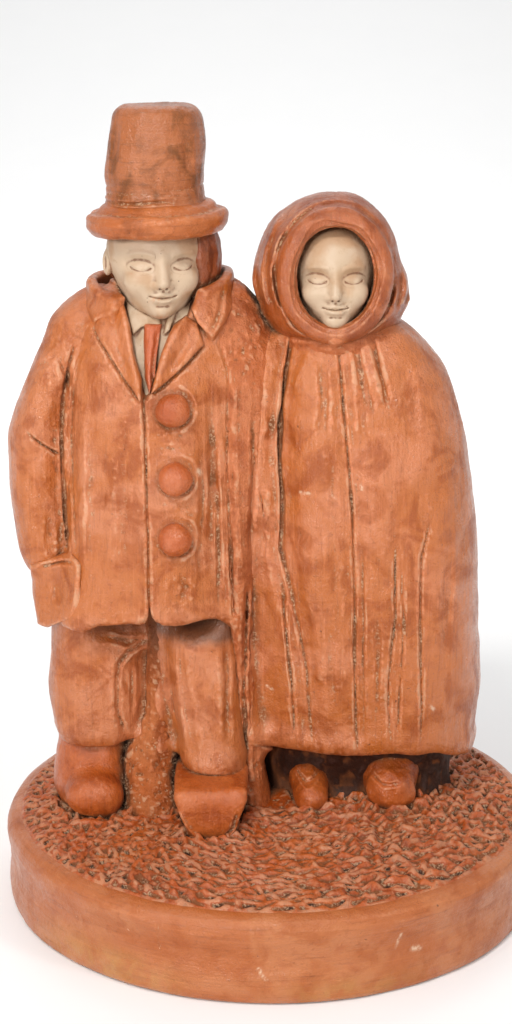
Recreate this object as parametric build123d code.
from build123d import *
import math
import os

# A hand-modelled terracotta figurine: a man in a top hat and a woman in a
# hooded cloak, standing side by side on a round plinth. Every piece below is
# one lump, slab or coil of clay that the potter shaped on its own and luted
# on with slip, so each is its own closed solid and neighbours meet face to
# face. Millimetres, +Z up, the couple faces -Y, origin at the middle of the
# plinth's underside.

# ---- driving dimensions -------------------------------------------------
FOOT_R = 77.5          # flat resting circle under the plinth
PLINTH_R = 79.7        # widest radius, at the rolled lip
WAIST_R = 78.3         # shallow waist under the lip
PLINTH_H = 25.0        # flat top of the plinth
GROUND_R = 72.5        # textured ground layer on top of the plinth
GROUND_TOP = 27.9      # crown of the ground layer
SHOE_Z = 26.2          # how deep the soles are pressed into the ground
R_HEM_Z = 45.5         # hem of the man's right trouser leg
L_HEM_Z = 41.2         # hem of his left trouser leg, the foot that steps out
COAT_HEM_Z = 83.5
COAT_TOP_Z = 176.0
CLOAK_HEM_Z = 45.0
CLOAK_TOP_Z = 170.5
BUTTON_R = 4.9
BUTTON_PROUD = 3.6
BRIM_RX, BRIM_RY, BRIM_T = 20.0, 19.0, 7.0
BRIM_Z = 195.0         # underside of the hat brim
CROWN_TOP_Z = 230.6
HOOD = (16.8, 3.5, 185.0, 22.6, 21.5, 20.6)     # centre and half sizes
RIM_Y = -17.5          # front of the hood's rolled edge


def rounded(z, cx, cy, rx, ry, k):
    """A rounded rectangle at height z; k is the corner radius over the smaller half size."""
    r = min(rx, ry) * k
    return Pos(cx, cy, z) * RectangleRounded(2 * rx, 2 * ry, r)


def oval(z, cx, cy, rx, ry):
    return Pos(cx, cy, z) * Ellipse(rx, ry)


def stack(rows, k=None):
    """A smooth body through horizontal sections (z, cx, cy, rx, ry), lowest first."""
    make = (lambda r: rounded(*r, k)) if k else (lambda r: oval(*r))
    return Solid.make_loft([make(r).face().outer_wire() for r in rows])


def egg(cx, cy, cz, rx, ry, rz):
    return Pos(cx, cy, cz) * scale(Sphere(1), by=(rx, ry, rz))


def ovoid(cx, cy, cz, rx, ry, rz, low=-78, high=78):
    """An egg-shaped lump lofted through level sections; low and high are latitudes in degrees."""
    rows = []
    for i in range(9):
        a = math.radians(low + (high - low) * i / 8)
        rows.append((cz + rz * math.sin(a), cx, cy, rx * math.cos(a), ry * math.cos(a)))
    return stack(rows)


def plate(points, y_front, y_back):
    """A slab with an outline in X and Z, from y_front back to y_back."""
    outline = Polyline(*[(x, z) for x, z in points], close=True)
    flat = make_face(Plane.XZ * outline)          # Plane.XZ faces -Y
    return Pos(0, y_back, 0) * extrude(flat, y_back - y_front, dir=(0, -1, 0))


def leaned(shape, y, z, angle=15.0):
    """Tip a slab back about the line through (y, z), so that it follows the chest."""
    return Pos(0, y, z) * Rot(-angle, 0, 0) * Pos(0, -y, -z) * shape


def less(shape, *others):
    """shape with the others cut out of it, keeping its one real lump."""
    lumps = list(shape.solids())
    for o in others:
        left = []
        for lump in lumps:
            cut = lump
            for tool in o.solids():
                cut = cut - tool
            left += [s for s in cut.solids() if s.volume > 1.0]
        lumps = left
    return max(lumps, key=lambda s: s.volume)


# ---- plinth and ground --------------------------------------------------
side = Spline(
    (FOOT_R + 1.2, 1.2), (79.4, 5.5), (WAIST_R, 12.5), (PLINTH_R, 19.3),
    (77.6, 23.6), (GROUND_R + 1.2, PLINTH_H),
)
profile = make_face(
    Plane.XZ
    * (
        Polyline((0, PLINTH_H), (0, 0), (FOOT_R, 0), (FOOT_R + 1.2, 1.2))
        + side
        + Line((GROUND_R + 1.2, PLINTH_H), (0, PLINTH_H))
    )
)
base_plinth = revolve(profile, Axis.Z)

ground_rows = [
    (PLINTH_H, 0, 0, GROUND_R, GROUND_R),
    (26.3, 0, 0, 68.5, 68.5),
    (27.2, 0, 0, 57.0, 57.0),
    (27.7, 0, 0, 40.0, 40.0),
    (GROUND_TOP, 0, 0, 22.0, 22.0),
]
ground_raw = stack(ground_rows)

# ---- the man: feet and legs ---------------------------------------------
man_right_shoe = stack([
    (SHOE_Z, -54.4, -2.0, 11.2, 21.8),
    (31.5, -54.4, -2.2, 11.6, 21.6),
    (37.0, -53.6, -0.2, 11.2, 18.4),
    (41.5, -52.4, 1.6, 11.4, 15.8),
    (R_HEM_Z, -51.6, 2.2, 11.6, 14.4),
])
man_left_shoe = stack([
    (SHOE_Z, -18.6, -14.6, 10.3, 24.0),
    (31.0, -18.4, -14.6, 10.6, 23.8),
    (36.0, -18.0, -12.4, 10.4, 21.0),
    (L_HEM_Z, -17.6, -9.6, 9.8, 17.2),
])
man_right_leg_raw = stack([
    (R_HEM_Z, -51.2, 2.2, 13.0, 15.0),
    (53.0, -51.2, 2.2, 14.6, 15.8),
    (64.0, -50.8, 2.6, 15.5, 16.6),
    (75.0, -50.2, 3.0, 15.2, 17.2),
    (88.0, -49.7, 3.2, 14.8, 17.8),
])
man_left_leg_raw = stack([
    (L_HEM_Z, -17.4, -8.0, 10.0, 16.6),
    (52.0, -18.2, -6.0, 11.0, 16.6),
    (64.0, -19.6, -3.8, 11.6, 16.8),
    (76.0, -20.4, -1.4, 12.2, 17.2),
    (88.0, -20.9, 0.0, 12.6, 17.8),
])
foot_web_raw = stack([
    (25.6, -33.5, 1.0, 13.5, 15.0),
    (33.0, -34.2, 2.0, 9.5, 12.0),
    (40.0, -34.6, 3.0, 7.2, 10.5),
    (50.0, -34.2, 2.4, 6.0, 11.5),
    (68.0, -33.4, 2.2, 5.8, 12.2),
    (87.0, -33.0, 2.0, 5.6, 12.4),
])
joint_strip_raw = stack([
    (25.6, -7.4, -7.0, 5.2, 6.0),
    (46.0, -7.6, -7.0, 4.8, 6.0),
    (68.0, -8.0, -6.6, 4.6, 6.0),
    (89.6, -8.4, -6.0, 4.4, 6.0),
])

# ---- the man: coat -------------------------------------------------------
coat_raw = stack([
    (COAT_HEM_Z, -38.4, 0.4, 28.4, 24.0),
    (96.0, -36.8, 0.4, 26.0, 24.4),
    (112.0, -35.8, 0.6, 24.4, 24.4),
    (130.0, -35.2, 1.0, 24.0, 23.6),
    (148.0, -34.2, 2.0, 24.2, 22.4),
    (160.0, -33.4, 3.0, 24.4, 20.6),
    (169.0, -32.4, 4.0, 21.0, 17.0),
    (COAT_TOP_Z, -31.8, 4.6, 14.0, 11.6),
], k=0.92)
man_right_sleeve_raw = stack([
    (103.6, -64.4, -1.6, 7.4, 10.4),
    (111.0, -65.7, -1.0, 8.5, 11.8),
    (120.0, -66.6, -0.4, 8.9, 12.6),
    (130.0, -66.8, 0.2, 8.8, 13.2),
    (140.0, -66.2, 1.2, 9.0, 13.6),
    (150.0, -63.2, 2.2, 8.8, 13.8),
    (158.0, -59.4, 2.8, 9.2, 13.4),
    (165.0, -55.8, 3.2, 9.6, 12.2),
    (171.0, -53.2, 3.8, 9.0, 10.0),
    (176.0, -51.4, 4.2, 4.6, 5.6),
])
coat_pocket_raw = stack([
    (86.6, -61.6, -2.4, 7.6, 13.0),
    (90.0, -61.9, -2.4, 8.0, 13.8),
    (98.0, -62.0, -2.2, 8.0, 13.8),
    (103.6, -62.2, -1.8, 7.8, 12.6),
], k=0.9)
man_left_sleeve_raw = stack([
    (90.0, -8.8, -3.0, 3.6, 9.0),
    (104.0, -9.0, -2.6, 5.2, 11.4),
    (124.0, -8.6, -1.4, 6.8, 13.0),
    (144.0, -7.6, 0.4, 8.2, 13.6),
    (160.0, -6.8, 2.0, 8.8, 12.8),
    (170.0, -7.4, 3.2, 7.6, 10.4),
    (178.4, -8.8, 4.2, 3.8, 5.6),
])

# ---- the woman: cloak ----------------------------------------------------
cloak_raw = stack([
    (CLOAK_HEM_Z, 27.0, 9.0, 34.2, 25.0),
    (56.0, 27.3, 9.2, 34.8, 26.6),
    (84.0, 26.9, 9.2, 34.2, 28.6),
    (110.0, 26.3, 8.4, 33.4, 28.6),
    (130.0, 25.4, 7.4, 31.4, 27.0),
    (145.0, 24.2, 6.4, 28.8, 24.4),
    (157.0, 22.6, 5.4, 25.2, 21.0),
    (165.5, 20.6, 4.6, 20.0, 16.6),
    (CLOAK_TOP_Z, 18.8, 4.4, 13.6, 11.8),
], k=0.9)
woman_right_shoe = stack([
    (SHOE_Z, 10.6, -3.0, 6.7, 14.2),
    (31.0, 10.6, -3.0, 6.9, 14.0),
    (35.5, 10.5, -1.6, 6.6, 12.2),
    (39.5, 10.4, 0.4, 5.4, 9.2),
])
woman_left_shoe = stack([
    (SHOE_Z, 34.8, -1.0, 10.2, 14.0),
    (31.0, 34.9, -1.0, 10.5, 13.8),
    (36.0, 35.2, 0.4, 9.8, 12.0),
    (40.4, 35.4, 1.8, 7.8, 9.2),
])
skirt_raw = stack([
    (25.6, 26.4, 10.0, 32.0, 20.6),
    (32.0, 26.4, 10.0, 30.0, 19.0),
    (40.0, 26.6, 10.0, 30.0, 19.6),
    (CLOAK_HEM_Z, 26.8, 10.0, 30.6, 20.4),
])

# ---- heads and headgear ---------------------------------------------------
man_head_raw = ovoid(-32.2, -3.2, 187.6, 14.0, 15.2, 15.6) + stack([
    (171.0, -31.8, 1.0, 9.4, 9.0),
    (182.0, -31.8, 0.4, 9.0, 8.8),
])
hair_raw = ovoid(-30.6, 0.6, 188.4, 16.2, 16.0, 15.4, low=-56, high=60)
hair_front_cut = Pos(-44.0, -21.0, 188.0) * Rot(0, 0, -24) * Box(60, 36, 60)
brim = Pos(-32.0, -3.6, BRIM_Z) * extrude(Ellipse(BRIM_RX, BRIM_RY), BRIM_T)
hat_brim_raw = fillet(brim.edges(), BRIM_T * 0.42)
hat_crown_raw = stack([
    (BRIM_Z + BRIM_T - 0.6, -32.4, -3.4, 14.0, 13.6),
    (211.0, -32.4, -3.4, 13.5, 13.2),
    (219.0, -31.9, -3.2, 13.0, 12.8),
    (225.5, -31.5, -3.0, 12.5, 12.3),
    (229.0, -31.4, -3.0, 11.4, 11.2),
    (CROWN_TOP_Z, -31.3, -3.0, 8.8, 8.8),
])
collar_outer = stack([
    (168.0, -31.9, 2.0, 22.0, 18.6),
    (175.0, -31.8, 2.2, 21.4, 17.6),
    (183.6, -31.6, 2.6, 19.8, 15.8),
])
collar_inner = stack([
    (166.0, -31.9, 2.0, 15.6, 13.4),
    (175.0, -31.8, 2.2, 16.6, 13.6),
    (185.0, -31.6, 2.6, 16.4, 12.6),
])
collar_gap = plate([(-46.5, 190), (-33.8, 160), (-18.0, 190)], -40, 2)

woman_head_raw = ovoid(17.0, -1.6, 184.0, 10.8, 13.8, 13.8) + stack([
    (168.8, 17.4, 1.0, 8.6, 8.4),
    (180.0, 17.2, 0.6, 8.2, 8.0),
])
hood_raw = ovoid(*HOOD, low=-50, high=76) - Pos(16.8, -34.6, 186.0) * Box(70, 40, 70)
ring = lambda rx, rz, y0, y1: Pos(17.0, y1, 185.3) * extrude(
    Plane.XZ * Ellipse(rx, rz), y1 - y0, dir=(0, -1, 0))
rim_outer = fillet(ring(16.0, 18.2, RIM_Y, -9.0).edges().group_by(Axis.Y)[0], 2.4)
hood_rim_raw = rim_outer - ring(12.6, 15.2, -30, 10)
lining_raw = ring(12.6, 15.2, -15.4, -8.0) - ring(10.9, 13.5, -30, 10)
neckband_raw = stack([
    (CLOAK_TOP_Z - 4.0, 18.2, 2.0, 16.2, 15.6),
    (CLOAK_TOP_Z - 1.6, 18.0, 1.6, 15.6, 15.2),
    (CLOAK_TOP_Z + 0.4, 17.8, 1.4, 14.4, 14.0),
])

# ---- joints between the lumps ----------------------------------------------
made = {}
made["base_plinth"] = base_plinth
made["man_right_shoe"] = man_right_shoe
made["man_left_shoe"] = man_left_shoe
made["woman_right_shoe"] = woman_right_shoe
made["woman_left_shoe"] = woman_left_shoe
made["man_coat"] = coat_raw
made["man_right_trouser_leg"] = less(man_right_leg_raw, coat_raw, man_right_shoe)
made["man_left_trouser_leg"] = less(man_left_leg_raw, coat_raw, man_left_shoe)
made["foot_clay_web"] = less(
    foot_web_raw, man_right_shoe, man_left_shoe, coat_raw,
    made["man_right_trouser_leg"], made["man_left_trouser_leg"])
made["woman_skirt"] = less(skirt_raw, woman_right_shoe, woman_left_shoe,
                           made["man_left_trouser_leg"], man_left_shoe)
made["joint_clay_strip"] = less(
    joint_strip_raw, man_left_shoe, made["man_left_trouser_leg"], coat_raw,
    cloak_raw, made["woman_skirt"], woman_right_shoe)
made["textured_ground"] = less(
    ground_raw, made["joint_clay_strip"], man_right_shoe, man_left_shoe, woman_right_shoe,
    woman_left_shoe, made["foot_clay_web"], made["woman_skirt"])
made["woman_cloak"] = less(cloak_raw, coat_raw, made["man_left_trouser_leg"],
                           man_left_shoe, woman_right_shoe, woman_left_shoe)
made["man_right_sleeve"] = less(man_right_sleeve_raw, coat_raw)
made["coat_pocket"] = less(coat_pocket_raw, coat_raw, made["man_right_sleeve"])
made["man_left_sleeve"] = less(man_left_sleeve_raw, coat_raw, made["woman_cloak"])

head = less(man_head_raw, coat_raw, hat_brim_raw)
made["man_head"] = head
made["hat_brim"] = hat_brim_raw
made["hat_crown"] = less(hat_crown_raw, hat_brim_raw)
made["man_hair"] = less(hair_raw, man_head_raw, hair_front_cut, hat_brim_raw, coat_raw)
collar = less(collar_outer, collar_inner, collar_gap, coat_raw, made["man_hair"],
              made["man_right_sleeve"], made["man_left_sleeve"], head)
left_half = Pos(18.2, 0, 175) * Box(100, 100, 60)      # x above -31.8
made["man_left_collar"] = less(collar & left_half, made["woman_cloak"])
made["man_right_collar"] = less(collar - left_half)

shirt = leaned(plate([(-41.6, 180.0), (-24.4, 180.0), (-33.4, 150.5), (-35.0, 150.5)],
                     -21.4, -9.0), -21.4, 150.5)
made["shirt_front"] = less(shirt, coat_raw, head, collar)
tie = leaned(plate([(-35.6, 172.0), (-30.4, 172.0), (-31.6, 164.0), (-33.4, 153.6),
                    (-35.0, 153.6), (-35.6, 162.0)], -23.2, -12.0), -23.2, 150.5)
made["necktie"] = less(tie, made["shirt_front"], coat_raw, head)
lapel_r = leaned(plate([(-49.4, 173.7), (-47.4, 167.2), (-35.8, 150.6), (-36.6, 156.7),
                        (-39.4, 167.0), (-41.6, 176.4)], -23.6, -8.0), -23.6, 150.6)
lapel_l = leaned(plate([(-19.2, 166.2), (-21.6, 173.2), (-27.0, 173.2), (-32.4, 158.9),
                        (-33.8, 152.2)], -23.6, -8.0), -23.6, 150.6)
coat_deep = coat_raw & Pos(-34, 0, 160) * Box(120, 120, 60)
made["man_right_lapel"] = less(lapel_r, coat_deep, shirt, collar, head, tie,
                               made["man_right_sleeve"])
made["man_left_lapel"] = less(lapel_l, coat_deep, shirt, collar, head, tie)


def coat_front_y(x, z):
    """Where a line along +Y first meets the coat."""
    probe = coat_raw & Pos(x, -20, z) * Box(0.2, 60, 0.2)
    return probe.bounding_box().min.Y


for name, (bx, bz) in {
    "coat_button_top": (-27.6, 148.6),
    "coat_button_middle": (-27.0, 129.8),
    "coat_button_bottom": (-27.2, 112.8),
}.items():
    y0 = coat_front_y(bx, bz)
    made[name] = less(egg(bx, y0 + 0.4, bz, BUTTON_R, BUTTON_PROUD, BUTTON_R), coat_raw)

whead = less(woman_head_raw, cloak_raw)
made["woman_head"] = whead
made["hood_lining"] = less(lining_raw, whead, cloak_raw)
made["hood_rim"] = less(hood_rim_raw, whead, cloak_raw)
made["cloak_neckband"] = less(neckband_raw, cloak_raw, whead, lining_raw,
                              hood_rim_raw, man_left_sleeve_raw)
made["woman_hood"] = less(hood_raw, cloak_raw, whead, rim_outer, lining_raw,
                          made["cloak_neckband"], man_left_sleeve_raw, collar_outer)

os.makedirs("parts", exist_ok=True)
for old in os.listdir("parts"):
    if old.endswith(".step"):
        os.remove(os.path.join("parts", old))
for name, solid in made.items():
    export_step(solid, f"parts/{name}.step")
print(len(made), "pieces")
